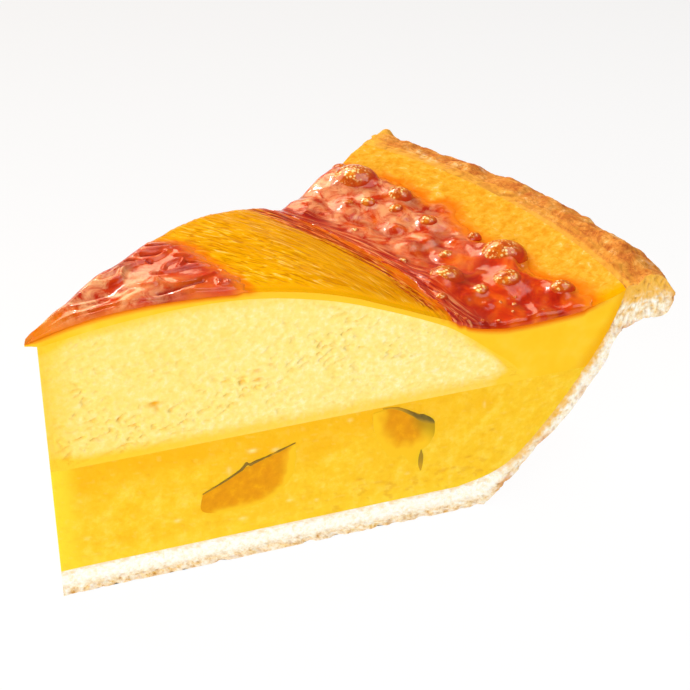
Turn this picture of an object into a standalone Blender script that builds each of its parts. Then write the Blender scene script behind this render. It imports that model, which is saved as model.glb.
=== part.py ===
"""A slice of deep pumpkin tart, standing on its crust.

A shortcrust shell holds a flat layer of baked pumpkin, a mound of pale mousse and a skin of
pumpkin cream, with red glaze in a disc at the middle of the tart and in a blistered ring near
the rim. Two chunks of pumpkin and a scrap of skin show in the near cut face.

Metres, +Z up. The slice is modelled about the middle of the whole tart, with +X along its
centre line from the pointed tip to the rim, and is then set down with its box on the origin.
"""

import math

import bmesh
import bpy
from mathutils import Matrix, Vector, noise

MM = 0.001

# The whole tart, from a 23 cm deep pie tin. Lengths are in millimetres until to_metres(), and
# heights are above the surface that the tart stands on.
SLICE_DEGREES = 40.7  # about a ninth of the tart
SLICE_ANGLE = math.radians(SLICE_DEGREES)
TIN_BASE_RADIUS = 87.0
TIN_RIM_RADIUS = 115.0
BASE_THICKNESS = 6.2
FILLING_TOP = 29.4
LIP_WIDTH = 10.2
LIP_TOP = 47.2
LIP_UNDERSIDE = 38.2
MOUND_TOP = 61.4
SHELF_TOP = 44.2
MOUSSE_RADIUS = 95.0
WALL_LEAN = 0.65  # how far the wall goes out for each millimetre up, level with the mousse's foot
GLAZE_DEPTH = 1.1
TIP_DRAG = 2.4  # how far the knife pulled the top past the tip
TIP_DRAG_REACH = 9.0  # radius that the pull fades out at
# How much the top rises to the far cut face and sinks to the near one: radius and rise.
FAR_SIDE_LIFT = ((0, 0), (78, 0), (90, 1.4), (106, 1.2), (114, 0.3), (120, -0.9), (140, -0.9))
LIFT_FROM, LIFT_FULL = 33.0, 43.0  # heights that the rise starts at and is whole at

# The surface's roughness: how far it goes in and out, and the size of its lumps.
WALL_RELIEF = 0.5
LIP_RELIEF = 1.1
CRUST_LUMP = 7.0
CREAM_RELIEF = 0.35
CREAM_LUMP = 16.0
GLAZE_RELIEF = 0.7
GLAZE_RISE = 0.25
GLAZE_LUMP = 9.0

GAP = 0.3  # kept between pieces that touch
WELD = 0.01  # points this close are one
STEPS = 16  # facets round the slice
GLAZE_STEPS = 34
CRUST_STEPS = 40
CUTTER_STEPS = 141  # facets round the whole tart
SMOOTH_SPAN = 3  # points that a smooth outline gets from each of its own to the next

# The glaze is a slab whose top dips under the cream at its borders.
SLAB_DEPTH = 3.5
SLAB_CELL = 2.1
BORDER_DIP = 2.2
BORDER_SOFTNESS = 1.4
BORDER_MARGIN = 2.4

# Borders of the glaze: degrees round from the near cut face, and radius.
TIP_EDGE = ((0.0, 0.0), (SLICE_DEGREES, 0.0))
DISC_EDGE = ((0.0, 38.6), (9.0, 38.2), (16.0, 37.4), (22.0, 36.9), (31.0, 37.9), (SLICE_DEGREES, 34.6))
RING_INNER_EDGE = ((0.0, 83.5), (3.0, 80.0), (12.0, 80.5), (24.0, 81.2), (SLICE_DEGREES, 80.2))
RING_OUTER_EDGE = (
    (0.0, 108.6),
    (5.0, 107.7),
    (8.5, 103.4),
    (12.0, 105.3),
    (17.0, 102.0),
    (21.5, 103.0),
    (25.5, 106.6),
    (27.5, 103.8),
    (30.5, 105.3),
    (SLICE_DEGREES, 104.4),
)

# Blisters in the ring of glaze: radius and degrees round of the middle, and width of the dome.
BLISTERS = (
    (99.0, 36.4, 9.2),
    (99.9, 30.2, 5.8),
    (93.2, 32.0, 4.0),
    (97.2, 23.9, 3.8),
    (91.4, 16.4, 3.6),
    (101.3, 12.8, 8.2),
    (85.8, 11.7, 6.4),
    (96.9, 8.0, 5.8),
    (89.9, 7.6, 3.6),
    (105.0, 3.9, 4.4),
)
BLISTER_RISE = 0.54  # height of the whole ball against its width
BLISTER_LEVEL = 0.3  # its middle above the glaze

# Pumpkin chunks in the near cut face: radius and height of the corners of their cut sections.
CHUNK_1 = ((28.4, 17.3), (28.2, 14.6), (31.0, 12.7), (39.9, 13.2), (44.6, 15.4), (46.6, 19.2), (47.4, 24.9))
CHUNK_2 = ((63.6, 28.8), (61.4, 24.0), (63.4, 18.6), (68.0, 16.0), (73.2, 18.6), (75.4, 22.4), (71.2, 25.4))
SKIN_SCRAP = ((72.2, 15.2), (72.4, 11.6), (73.3, 11.8), (73.3, 15.0))
CHUNK_DEPTH = 9.0
CHUNK_ROUNDING = 0.48
SCRAP_DEPTH = 3.0
SCRAP_ROUNDING = 0.28
POCKET_SWELL = 0.45  # moved out along corner normals, which keeps the gap along the sides


def to_metres(points):
    return [tuple(value * MM for value in point) for point in points]


def catmull_rom(a, b, c, d, t):
    """One coordinate on the way from b to c, with a before them and d after."""
    bend = 2 * a - 5 * b + 4 * c - d
    twist = 3 * b - a - 3 * c + d
    return 0.5 * (2 * b + (c - a) * t + bend * t**2 + twist * t**3)


def smooth(points):
    """A smooth curve through the points, which keeps both ends."""
    ends = [points[0], *points, points[-1]]
    curve = []
    for quartet in zip(ends, ends[1:], ends[2:], ends[3:]):
        for step in range(SMOOTH_SPAN):
            curve.append(tuple(catmull_rom(*values, step / SMOOTH_SPAN) for values in zip(*quartet)))
    return [*curve, points[-1]]


def offset(path, distance):
    """The path moved sideways, to the left of its direction."""
    moved = []
    for i, (x, y) in enumerate(path):
        ahead = path[min(i + 1, len(path) - 1)]
        behind = path[max(i - 1, 0)]
        along = Vector((ahead[0] - behind[0], ahead[1] - behind[1])).normalized()
        moved.append((x - along.y * distance, y + along.x * distance))
    return moved


def height_at(path, radius):
    """The height of a path at a radius, where its radii only grow."""
    for (r0, z0), (r1, z1) in zip(path, path[1:]):
        if r0 <= radius <= r1:
            return z0 + (z1 - z0) * (radius - r0) / (r1 - r0)
    return path[-1][1]


def smoothstep(low, high, value):
    t = min(1.0, max(0.0, (value - low) / (high - low)))
    return t * t * (3 - 2 * t)


# Outlines, as radius and height in millimetres. Each runs outwards.
def top_surface():
    """The top of the whole tart: a mound with a slight hollow in the middle, then a shelf."""
    return smooth(
        (
            (0.0, MOUND_TOP - 2.9),
            (6.0, MOUND_TOP - 1.3),
            (14.0, MOUND_TOP - 0.2),
            (24.0, MOUND_TOP),
            (36.0, MOUND_TOP - 0.8),
            (48.0, MOUND_TOP - 2.9),
            (58.0, MOUND_TOP - 6.0),
            (68.0, MOUND_TOP - 10.5),
            (76.0, SHELF_TOP + 3.0),
            (83.0, SHELF_TOP + 0.4),
            (92.0, SHELF_TOP - 0.3),
            (103.0, SHELF_TOP),
            (110.0, SHELF_TOP + 0.7),
            (TIN_RIM_RADIUS, SHELF_TOP + 1.9),
        )
    )


def mousse_top():
    """The mound of mousse, under the cream and down to the pumpkin layer."""
    return smooth(
        (
            (0.0, MOUND_TOP - 5.0),
            (12.0, MOUND_TOP - 3.3),
            (26.0, MOUND_TOP - 2.3),
            (40.0, MOUND_TOP - 3.0),
            (54.0, MOUND_TOP - 6.2),
            (66.0, MOUND_TOP - 10.9),
            (77.0, 45.1),
            (84.0, 40.6),
            (90.5, 34.6),
            (MOUSSE_RADIUS, FILLING_TOP + 0.3),
        )
    )


def inner_wall():
    """The inside of the crust, from the edge of its flat base to the top of its wall."""
    return smooth(
        (
            (TIN_BASE_RADIUS - 6.0, BASE_THICKNESS),
            (TIN_BASE_RADIUS + 1.5, BASE_THICKNESS + 1.8),
            (94.3, 11.8),
            (102.3, 21.4),
            (109.4, 32.4),
            (113.0, 39.8),
            (TIN_RIM_RADIUS, SHELF_TOP + 1.6),
        )
    )


def outer_wall():
    return smooth(((TIN_BASE_RADIUS + 6.4, 6.4), (97.4, 11.4), (102.6, 16.5), (107.6, 23.2), (111.4, 29.4)))


def lip():
    """The rolled edge of the crust, from under it, round its outer side and over to the filling."""
    outer = TIN_RIM_RADIUS + LIP_WIDTH
    return smooth(
        (
            (113.0, 34.2),
            (115.4, LIP_UNDERSIDE - 1.3),
            (120.0, LIP_UNDERSIDE),
            (outer - 1.3, LIP_UNDERSIDE + 0.6),
            (outer, LIP_UNDERSIDE + 3.8),
            (outer - 1.2, LIP_TOP - 2.2),
            (outer - 5.0, LIP_TOP),
            (117.4, LIP_TOP - 0.6),
        )
    )


def middle_radius(edge):
    return sum(radius for _, radius in edge) / len(edge)


def in_glaze(radius):
    """How far a radius lies within the disc or the ring of glaze, from 0 to 1."""
    disc = middle_radius(DISC_EDGE)
    inner, outer = middle_radius(RING_INNER_EDGE), middle_radius(RING_OUTER_EDGE)
    under_disc = 1 - smoothstep(disc - 2.5, disc + 0.5, radius)
    past_inner = smoothstep(inner - 1.0, inner + 2.5, radius)
    past_outer = smoothstep(outer - 3.5, outer + 0.5, radius)
    return under_disc + past_inner * (1 - past_outer)


def cream_top():
    """The top of the cream, sunk by the depth of the glaze where that lies on it."""
    return [(radius, height - GLAZE_DEPTH * in_glaze(radius)) for radius, height in top_surface()]


def rough(path, relief):
    """The path with the depth of surface relief, in millimetres, beside each point."""
    return [(*point, relief) for point in path]


def turned_wedge(outline, steps):
    """A mesh made by turning a closed outline about the middle of the tart through one slice."""
    mesh = bpy.data.meshes.new("wedge")
    shape = bmesh.new()
    relief = shape.verts.layers.float.new("relief")
    for radius, height, depth in to_metres(outline):
        shape.verts.new((radius, 0, height))[relief] = depth
    shape.verts.ensure_lookup_table()
    face = shape.faces.new(shape.verts)
    bmesh.ops.rotate(shape, verts=shape.verts, matrix=Matrix.Rotation(-SLICE_ANGLE / 2, 3, "Z"))
    section = [*shape.verts, *shape.edges, face]
    bmesh.ops.spin(shape, geom=section, axis=(0, 0, 1), angle=SLICE_ANGLE, steps=steps)
    bmesh.ops.remove_doubles(shape, verts=shape.verts, dist=WELD * MM)
    bmesh.ops.recalc_face_normals(shape, faces=shape.faces)
    shape.to_mesh(mesh)
    shape.free()
    return mesh


def sideways(point):
    """The direction round the tart at a point."""
    return Vector((-point.y, point.x, 0)).normalized()


def weather(mesh, lump_size):
    """Moves the skin in and out by its relief, in lumps of one size, and keeps the cut faces flat."""
    relief = mesh.attributes["relief"].data
    for vertex, depth, normal in zip(mesh.vertices, relief, mesh.vertex_normals):
        around = sideways(vertex.co)
        push = normal.vector - normal.vector.dot(around) * around
        lump = noise.fractal(vertex.co / (lump_size * MM), 0.6, 2.0, 2)
        vertex.co += push * lump * depth.value


def drag_tip(mesh):
    """Pulls the top of the slice out past its tip, as the knife left it."""
    for vertex in mesh.vertices:
        pull = max(0.0, 1 - vertex.co.xy.length / (TIP_DRAG_REACH * MM))
        vertex.co.x -= TIP_DRAG * MM * pull**2


def lift_far_side(mesh):
    """Tilts the top of the shelf and the lip round the tart, from one cut face to the other."""
    for vertex in mesh.vertices:
        radius, height = vertex.co.xy.length, vertex.co.z
        lift = height_at(FAR_SIDE_LIFT, radius / MM) * smoothstep(LIFT_FROM * MM, LIFT_FULL * MM, height)
        turn = vertex.co.y / max(radius, MM) / math.sin(SLICE_ANGLE / 2)
        vertex.co.z += lift * MM * turn


def material(name, colour, roughness):
    made = bpy.data.materials.new(name)
    made.use_nodes = True
    shader = made.node_tree.nodes["Principled BSDF"]
    shader.inputs["Base Color"].default_value = (*colour, 1)
    shader.inputs["Roughness"].default_value = roughness
    shader.inputs["Metallic"].default_value = 0
    return made


def piece(name, mesh, finish, collection):
    made = bpy.data.objects.new(name, mesh)
    mesh.name = name
    mesh.shade_smooth()
    mesh.set_sharp_from_angle(angle=math.radians(40))
    mesh.materials.append(finish)
    collection.objects.link(made)
    return made


def cutter(name, mesh, collection):
    made = bpy.data.objects.new(name, mesh)
    made.hide_render = True
    made.display_type = "WIRE"
    collection.objects.link(made)
    return made


def cut(target, tool):
    boolean = target.modifiers.new(tool.name, "BOOLEAN")
    boolean.operation = "DIFFERENCE"
    boolean.object = tool


def fuse(target, additions):
    """Joins every object of a collection to the target, and removes them."""
    boolean = target.modifiers.new("fuse", "BOOLEAN")
    boolean.operation = "UNION"
    boolean.operand_type = "COLLECTION"
    boolean.collection = additions
    graph = bpy.context.evaluated_depsgraph_get()
    joined = bpy.data.meshes.new_from_object(target.evaluated_get(graph))
    target.modifiers.clear()
    target.data = joined
    for addition in list(additions.objects):
        bpy.data.objects.remove(addition)
    bpy.data.collections.remove(additions)


def crust(parts):
    """The shell: a flat base, a flared wall and a rolled lip with a craggy skin."""
    outline = [
        (0, 0, 0),
        (TIN_BASE_RADIUS, 0, 0),
        *rough(outer_wall(), WALL_RELIEF),
        *rough(lip(), LIP_RELIEF),
        *rough(reversed(inner_wall()), 0),
        (0, BASE_THICKNESS, 0),
    ]
    mesh = turned_wedge(outline, CRUST_STEPS)
    weather(mesh, CRUST_LUMP)
    lift_far_side(mesh)
    return piece("crust", mesh, material("baked_shortcrust", (0.76, 0.42, 0.14), 0.8), parts)


def pumpkin_filling(parts):
    """The flat layer, from the crust's base up to the mousse, and out to the crust's wall."""
    bottom, top = BASE_THICKNESS + GAP, FILLING_TOP - GAP
    wall = [(radius, max(height, bottom)) for radius, height in offset(inner_wall(), GAP) if height < top]
    corner = (wall[-1][0] + (top - wall[-1][1]) * WALL_LEAN, top)
    outline = rough([(0, bottom), *wall, corner, (0, top)], 0)
    mesh = turned_wedge(outline, STEPS)
    return piece("pumpkin_filling", mesh, material("baked_pumpkin", (0.93, 0.6, 0.05), 0.5), parts)


def mousse(parts):
    outline = rough([(0, FILLING_TOP), *reversed(mousse_top())], 0)
    mesh = turned_wedge(outline, STEPS)
    lift_far_side(mesh)
    return piece("mousse", mesh, material("set_mousse", (0.98, 0.82, 0.3), 0.6), parts)


def pumpkin_cream(parts):
    """The cream: a skin over the mousse that fills the corner between the mousse and the wall."""
    under = offset(mousse_top(), GAP)
    under[-1] = (MOUSSE_RADIUS + GAP, FILLING_TOP)
    wall = [point for point in offset(inner_wall(), GAP) if point[1] > FILLING_TOP]
    foot = (wall[0][0] - (wall[0][1] - FILLING_TOP) * WALL_LEAN, FILLING_TOP)
    top = cream_top()
    top[-1] = (wall[-1][0], top[-1][1])
    skin = [(*point, CREAM_RELIEF * (1 - in_glaze(point[0]))) for point in top[:-1]]
    outline = [*rough([*under, foot, *wall[:-1]], 0), *rough(top[-1:], 0), *reversed(skin)]
    mesh = turned_wedge(outline, STEPS)
    weather(mesh, CREAM_LUMP)
    lift_far_side(mesh)
    drag_tip(mesh)
    return piece("pumpkin_cream", mesh, material("pumpkin_cream", (0.93, 0.57, 0.02), 0.25), parts)


def cream_cutter(cutters):
    """All that lies under the cream's surface and the gap over it, turned right round."""
    surface = offset(cream_top(), GAP)
    surface[0] = (0, surface[0][1])
    outline = to_metres([*surface, (TIN_RIM_RADIUS, BASE_THICKNESS), (0, BASE_THICKNESS)])
    mesh = bpy.data.meshes.new("under_glaze")
    shape = bmesh.new()
    corners = [shape.verts.new((radius, 0, height)) for radius, height in outline]
    lines = [shape.edges.new(ends) for ends in zip(corners, corners[1:])]
    whole_turn = {"axis": (0, 0, 1), "angle": 2 * math.pi, "steps": CUTTER_STEPS, "use_merge": True}
    bmesh.ops.spin(shape, geom=[*corners, *lines], **whole_turn)
    bmesh.ops.remove_doubles(shape, verts=shape.verts, dist=WELD * MM)
    bmesh.ops.recalc_face_normals(shape, faces=shape.faces)
    shape.to_mesh(mesh)
    shape.free()
    lift_far_side(mesh)
    drag_tip(mesh)
    return cutter("under_glaze", mesh, cutters)


def past_border(edge, point):
    """How far a point of the tart's top lies past a border of the glaze, from 0 to 1."""
    degrees = math.degrees(math.atan2(point.y, point.x) + SLICE_ANGLE / 2)
    border = height_at(edge, degrees)
    if border == 0:
        return 1
    return smoothstep(border - BORDER_SOFTNESS, border + BORDER_SOFTNESS, point.xy.length / MM)


def glaze_slab(inner_edge, outer_edge):
    """A slab of folded glaze between two borders, where its top dips under the cream."""
    start = max(0.0, min(radius for _, radius in inner_edge) - BORDER_MARGIN)
    end = max(radius for _, radius in outer_edge) + BORDER_MARGIN
    count = round((end - start) / SLAB_CELL)
    radii = [start + (end - start) * i / count for i in range(count + 1)]
    surface = top_surface()
    top = [(radius, height_at(surface, radius), GLAZE_RELIEF) for radius in radii]
    base = [(radius, height - SLAB_DEPTH, 0) for radius, height, _ in (top[0], top[-1])]
    mesh = turned_wedge([*base, *reversed(top)], GLAZE_STEPS)
    inner_curve, outer_curve = smooth(inner_edge), smooth(outer_edge)
    for vertex, relief in zip(mesh.vertices, mesh.attributes["relief"].data):
        if relief.value > 0:
            inside = past_border(inner_curve, vertex.co) * (1 - past_border(outer_curve, vertex.co))
            fold = noise.noise(vertex.co / (GLAZE_LUMP * MM)) * relief.value + GLAZE_RISE * MM
            vertex.co.z += fold * inside - BORDER_DIP * MM * (1 - inside)
    return mesh


def glaze_disc(parts, under_glaze, finish):
    mesh = glaze_slab(TIP_EDGE, DISC_EDGE)
    drag_tip(mesh)
    made = piece("glaze_disc", mesh, finish, parts)
    cut(made, under_glaze)
    return made


def blister(radius, degrees, width, collection):
    """A low dome that stands on the glaze."""
    mesh = bpy.data.meshes.new("blister")
    shape = bmesh.new()
    bmesh.ops.create_uvsphere(shape, u_segments=12, v_segments=8, radius=width / 2 * MM)
    shape.to_mesh(mesh)
    shape.free()
    dome = bpy.data.objects.new("blister", mesh)
    dome.scale.z = BLISTER_RISE
    level = height_at(top_surface(), radius) + BLISTER_LEVEL
    turn = Matrix.Rotation(math.radians(degrees) - SLICE_ANGLE / 2, 3, "Z")
    dome.location = turn @ Vector((radius, 0, level)) * MM
    collection.objects.link(dome)


def glaze_ring(parts, under_glaze, finish):
    made = piece("glaze_ring", glaze_slab(RING_INNER_EDGE, RING_OUTER_EDGE), finish, parts)
    domes = bpy.data.collections.new("blisters")
    bpy.context.scene.collection.children.link(domes)
    for radius, angle, width in BLISTERS:
        blister(radius, angle, width, domes)
    fuse(made, domes)
    lift_far_side(made.data)
    cut(made, under_glaze)
    return made


def chunk(name, section, depth, rounding, finish, parts):
    """A rounded prism that goes into the near cut face, where it is cut flush."""
    shape = bmesh.new()
    corners = [shape.verts.new((radius, -depth * MM, height)) for radius, height in to_metres(section)]
    face = shape.faces.new(corners)
    swept = bmesh.ops.extrude_face_region(shape, geom=[face])
    inner = [item for item in swept["geom"] if isinstance(item, bmesh.types.BMVert)]
    bmesh.ops.translate(shape, verts=inner, vec=(0, 2 * depth * MM, 0))
    bmesh.ops.recalc_face_normals(shape, faces=shape.faces)
    bmesh.ops.bevel(shape, geom=shape.edges, offset=rounding * MM, segments=1, affect="EDGES")
    whole = [*shape.verts, *shape.edges, *shape.faces]
    cut_face = {"plane_co": (0, 0, 0), "plane_no": (0, -1, 0), "clear_outer": True}
    sliced = bmesh.ops.bisect_plane(shape, geom=whole, **cut_face)
    rim = [item for item in sliced["geom_cut"] if isinstance(item, bmesh.types.BMEdge)]
    bmesh.ops.holes_fill(shape, edges=rim)
    bmesh.ops.rotate(shape, verts=shape.verts, matrix=Matrix.Rotation(-SLICE_ANGLE / 2, 3, "Z"))
    bmesh.ops.recalc_face_normals(shape, faces=shape.faces)
    mesh = bpy.data.meshes.new(name)
    shape.to_mesh(mesh)
    shape.free()
    return piece(name, mesh, finish, parts)


def pocket(filling, held, cutters):
    """Cuts room in the filling for a chunk and the gap round it."""
    room = cutter(f"pocket_for_{held.name}", held.data.copy(), cutters)
    swell = room.modifiers.new("swell", "DISPLACE")
    swell.mid_level = 0
    swell.strength = POCKET_SWELL * MM
    cut(filling, room)


def set_down(parts, cutters):
    """Puts the middle of the slice's box on the origin, seen from above."""
    graph = bpy.context.evaluated_depsgraph_get()
    corners = []
    for made in parts.objects:
        corners += made.evaluated_get(graph).bound_box
    xs, ys, _ = zip(*corners)
    for made in [*parts.objects, *cutters.objects]:
        made.location.x = -(min(xs) + max(xs)) / 2
        made.location.y = -(min(ys) + max(ys)) / 2


def main():
    for old in list(bpy.data.objects):
        bpy.data.objects.remove(old)
    parts = bpy.data.collections.new("pumpkin_tart_slice")
    cutters = bpy.data.collections.new("cutters")
    for collection in (parts, cutters):
        bpy.context.scene.collection.children.link(collection)
    crust(parts)
    filling = pumpkin_filling(parts)
    mousse(parts)
    pumpkin_cream(parts)
    under_glaze = cream_cutter(cutters)
    glaze = material("caramel_glaze", (0.75, 0.13, 0.02), 0.12)
    glaze_disc(parts, under_glaze, glaze)
    glaze_ring(parts, under_glaze, glaze)
    flesh = material("stewed_pumpkin", (0.85, 0.42, 0.01), 0.45)
    skin = material("pumpkin_skin", (0.06, 0.09, 0.02), 0.5)
    held = [
        chunk("pumpkin_chunk_1", CHUNK_1, CHUNK_DEPTH, CHUNK_ROUNDING, flesh, parts),
        chunk("pumpkin_chunk_2", CHUNK_2, CHUNK_DEPTH, CHUNK_ROUNDING, flesh, parts),
        chunk("pumpkin_skin_scrap", SKIN_SCRAP, SCRAP_DEPTH, SCRAP_ROUNDING, skin, parts),
    ]
    for made in held:
        pocket(filling, made, cutters)
    set_down(parts, cutters)


main()
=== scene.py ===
"""A slice of deep pumpkin tart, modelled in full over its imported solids.

Every layer is a section drawn between two edge lines in a cut plane, and turned about the middle
of the tart. Radii, heights and sizes are in millimetres until a piece is placed.
"""

import math

import bpy
import numpy as np
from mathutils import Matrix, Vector, noise


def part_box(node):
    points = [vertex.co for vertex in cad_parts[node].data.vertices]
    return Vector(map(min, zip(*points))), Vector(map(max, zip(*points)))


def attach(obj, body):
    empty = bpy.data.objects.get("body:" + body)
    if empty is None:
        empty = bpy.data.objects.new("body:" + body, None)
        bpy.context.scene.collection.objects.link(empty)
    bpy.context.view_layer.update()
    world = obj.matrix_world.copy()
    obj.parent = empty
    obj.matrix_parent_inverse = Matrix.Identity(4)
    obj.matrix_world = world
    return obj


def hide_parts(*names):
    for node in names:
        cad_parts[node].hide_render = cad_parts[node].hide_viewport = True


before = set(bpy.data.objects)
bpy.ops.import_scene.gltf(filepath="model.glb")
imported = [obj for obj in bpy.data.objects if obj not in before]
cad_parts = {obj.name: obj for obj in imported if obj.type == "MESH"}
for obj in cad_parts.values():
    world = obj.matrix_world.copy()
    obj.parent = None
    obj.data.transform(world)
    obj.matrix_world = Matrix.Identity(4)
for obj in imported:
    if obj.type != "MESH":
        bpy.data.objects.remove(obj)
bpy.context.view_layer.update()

MM = 0.001
SLICE = 40.7  # degrees
HALF = math.radians(SLICE / 2)
TIN_BASE_RADIUS = 87.0
FLOOR_RADIUS = 81.0  # where the crust's wall starts to rise inside
BASE_THICKNESS = 6.2
FILLING_TOP = 29.4
MOUSSE_RADIUS = 95.0
RIM_RADIUS = 115.0
LIP_RADIUS = 125.2
LIP_TOP = 47.2
LIP_FOOT = 34.2  # how high the lip leaves the wall outside
CHUNK_DEPTH = 9.0
OVERLAP = 0.15  # each layer reaches this far past the middle of the gap to the next
ON_CUT = 0.02  # a point this near to a cut plane lies in it
UP = np.array((0, 0, 1))

mousse_low, mousse_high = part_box("mousse")
MIDDLE = Vector((mousse_low.x, (mousse_low.y + mousse_high.y) / 2, 0))
INTO_NEAR = np.array((math.sin(HALF), math.cos(HALF), 0))  # from the near cut face into the slice
INTO_FAR = np.array((math.sin(HALF), -math.cos(HALF), 0))


# Outlines, as radius and height. Each runs outwards.
def smooth(points, span=12):
    """A smooth curve through the points, which keeps both ends."""
    ends = np.array([points[0], *points, points[-1]], float)[:, None]
    a, b, c, d = ends[:-3], ends[1:-2], ends[2:-1], ends[3:]
    t = np.arange(span)[None, :, None] / span
    bend = 2 * a - 5 * b + 4 * c - d
    twist = 3 * b - a - 3 * c + d
    curve = 0.5 * (2 * b + (c - a) * t + bend * t**2 + twist * t**3)
    return np.vstack([curve.reshape(-1, 2), ends[-1]])


def evenly(path, count):
    """The same course in even steps."""
    lengths = np.r_[0, np.cumsum(np.hypot(*np.diff(path, axis=0).T))]
    steps = np.linspace(0, lengths[-1], count + 1)
    return np.stack([np.interp(steps, lengths, path[:, axis]) for axis in (0, 1)], 1)


def course(radii, heights):
    """An outline from its radii and its heights."""
    return np.stack(np.broadcast_arrays(radii, heights), 1)


def level(path, radius):
    """The height of an outline at a radius."""
    return np.interp(radius, path[:, 0], path[:, 1])


def smoothstep(low, high, value):
    t = np.clip((value - low) / (high - low), 0, 1)
    return t * t * (3 - 2 * t)


TOP = smooth([
    (0, 58.5), (6, 60.1), (14, 61.2), (24, 61.4), (36, 60.6), (48, 58.5), (58, 55.4), (68, 50.9),
    (76, 47.2), (83, 44.6), (92, 43.9), (103, 44.2), (110, 44.9), (RIM_RADIUS, 46.1),
])
MOUSSE_TOP = smooth([
    (0, 56.4), (12, 58.1), (26, 59.1), (40, 58.4), (54, 55.2), (66, 50.5), (77, 45.1), (84, 40.6),
    (90.5, 34.6), (MOUSSE_RADIUS, 29.7),
])
INNER_WALL = smooth([
    (FLOOR_RADIUS, BASE_THICKNESS), (88.5, 8), (94.3, 11.8), (102.3, 21.4), (109.4, 32.4),
    (113, 39.8), (RIM_RADIUS, 45.8),
])
OUTER_WALL = np.array([
    (TIN_BASE_RADIUS, 0), (93.4, 6.4), (97.4, 11.4), (102.6, 16.5), (107.6, 23.2), (111.4, 29.4),
    (113, LIP_FOOT),
])
LIP_OUTSIDE = smooth([(113, LIP_FOOT), (115.4, 36.9), (120, 38.2), (123.9, 38.8), (LIP_RADIUS, 42)])
LIP_INSIDE = smooth([
    (RIM_RADIUS, 45.8), (117.4, 46.6), (120.2, LIP_TOP), (124, 45), (LIP_RADIUS, 42),
])

# Borders of the glaze: degrees round from the near cut face, and radius.
DISC_EDGE = smooth([(0, 38.6), (9, 38.2), (16, 37.4), (22, 36.9), (31, 37.9), (SLICE, 34.6)])
RING_INNER_EDGE = smooth([
    (0, 79), (3, 78), (8, 77.6), (14, 77.5), (20, 77.2), (25, 76.6), (30, 76), (36, 76),
    (SLICE, 77),
])
RING_OUTER_EDGE = smooth([
    (0, 108.6), (5, 107.7), (8.5, 103.4), (12, 105.3), (17, 102), (21.5, 103), (25.5, 106.6),
    (27.5, 103.8), (30.5, 105.3), (SLICE, 104.4),
])

# Where the cream is scorched from, outwards as far as the ring of glaze.
SCORCH_EDGE = smooth([
    (0, 75.5), (5, 74), (9, 73.2), (13.5, 72), (19, 70), (25, 67.8), (30, 65.2), (35, 64.4),
    (SLICE, 66),
])

# Folds in the disc of glaze: height, half width, and the radius and degrees round of each point.
FOLDS = (
    (0.55, 0.5, ((25.1, 21.2), (26.7, 18.6), (31.3, 18), (35.4, 16.4), (37.7, 10.4), (38.3, 6.8))),
    (0.5, 0.5, ((23.9, 16.7), (24.5, 10.5), (26, 6.9), (28.5, 6.5), (31.1, 8.1), (34.7, 11))),
    (0.4, 0.5, ((17.2, 16), (19.1, 17), (22.7, 11.8), (24.2, 13.6))),
    (0.6, 0.6, ((14.8, 34.2), (16.6, 28), (19.3, 27), (21.7, 31.9), (25.5, 32), (29.6, 29.6),
                (32.3, 30.6))),
    (0.5, 0.6, ((17.1, 36), (19.2, 34), (21.9, 35.4))),
    (0.5, 0.6, ((28, 37.4), (30.7, 35.6), (33.9, 31.8))),
    (0.5, 0.4, ((27, 20.6), (29, 23.7), (32.4, 23), (30.2, 19.6))),
    (0.5, 0.5, ((32.3, 26.6), (35, 22), (37.7, 16))),
    (0.5, 0.7, ((7.5, 28), (9, 18), (13.4, 13.6))),
    (-0.5, 0.35, ((25, 39), (26.1, 35.7), (27.4, 28.8))),
    (-0.5, 0.35, ((31.5, 38.9), (34, 35), (38.1, 30.2))),
    (-0.5, 0.35, ((28.2, 35.5), (31.8, 30.9))),
    (-0.5, 0.35, ((32.7, 21.2), (36.3, 16.6), (38.5, 9.7))),
    (-0.3, 0.35, ((22.6, 4.6), (27.9, 4.5), (31.5, 6.3))),
    (0.4, 0.3, ((34.2, 5.8), (33.9, 3.2), (35.4, 3.4), (35.9, 5.4))),
    (0.4, 0.3, ((37.6, 5.6), (37.2, 3), (38.8, 3.6))),
)

# Blisters: radius, degrees round and width.
BLISTERS = (
    (99.0, 36.4, 11.0), (99.9, 30.2, 7.0), (93.2, 32.0, 4.8), (97.2, 23.9, 4.6), (91.4, 16.4, 4.3),
    (101.3, 12.8, 9.8), (85.8, 11.7, 7.7), (96.9, 8.0, 7.0), (89.9, 7.6, 4.3), (105.0, 3.9, 5.3),
    (101.1, 18.1, 3.0), (82.1, 18.1, 2.3), (102.2, 39.8, 3.7), (89.7, 33.6, 4.3), (95.7, 28.5, 4.3),
    (91.6, 4.2, 1.9), (94.1, 3.5, 1.3), (82.6, 28.3, 2.0), (80.4, 6.6, 2.6), (81.9, 17.6, 1.4),
    (85.3, 0.9, 1.0), (80.4, 1.7, 1.0), (81.8, 1.1, 0.9), (95.3, 4.8, 1.1), (92.7, 2.2, 0.9),
    (98.4, 1.2, 0.8), (88.6, 0.8, 0.8),
)

# Swellings of the ring of glaze with no blister in them, given in the same way.
SWELLINGS = (
    (98, 15.6, 2.6), (86.3, 6.6, 2.2), (89.4, 4.6, 2.6), (90.4, 9.9, 2.4), (103.8, 5.9, 2.2),
    (103.3, 21.9, 2.4), (83.3, 12.6, 2), (93.8, 38.8, 3), (81.4, 36.6, 3), (85.2, 27.6, 2.6),
    (85.3, 16.8, 2.2), (88, 21, 4), (92.5, 20.5, 4), (96.5, 18.5, 3.6), (88.5, 33, 3.6),
    (86, 38, 3.6), (94.5, 26.6, 3), (90.5, 25.5, 3.4),
)

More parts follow.
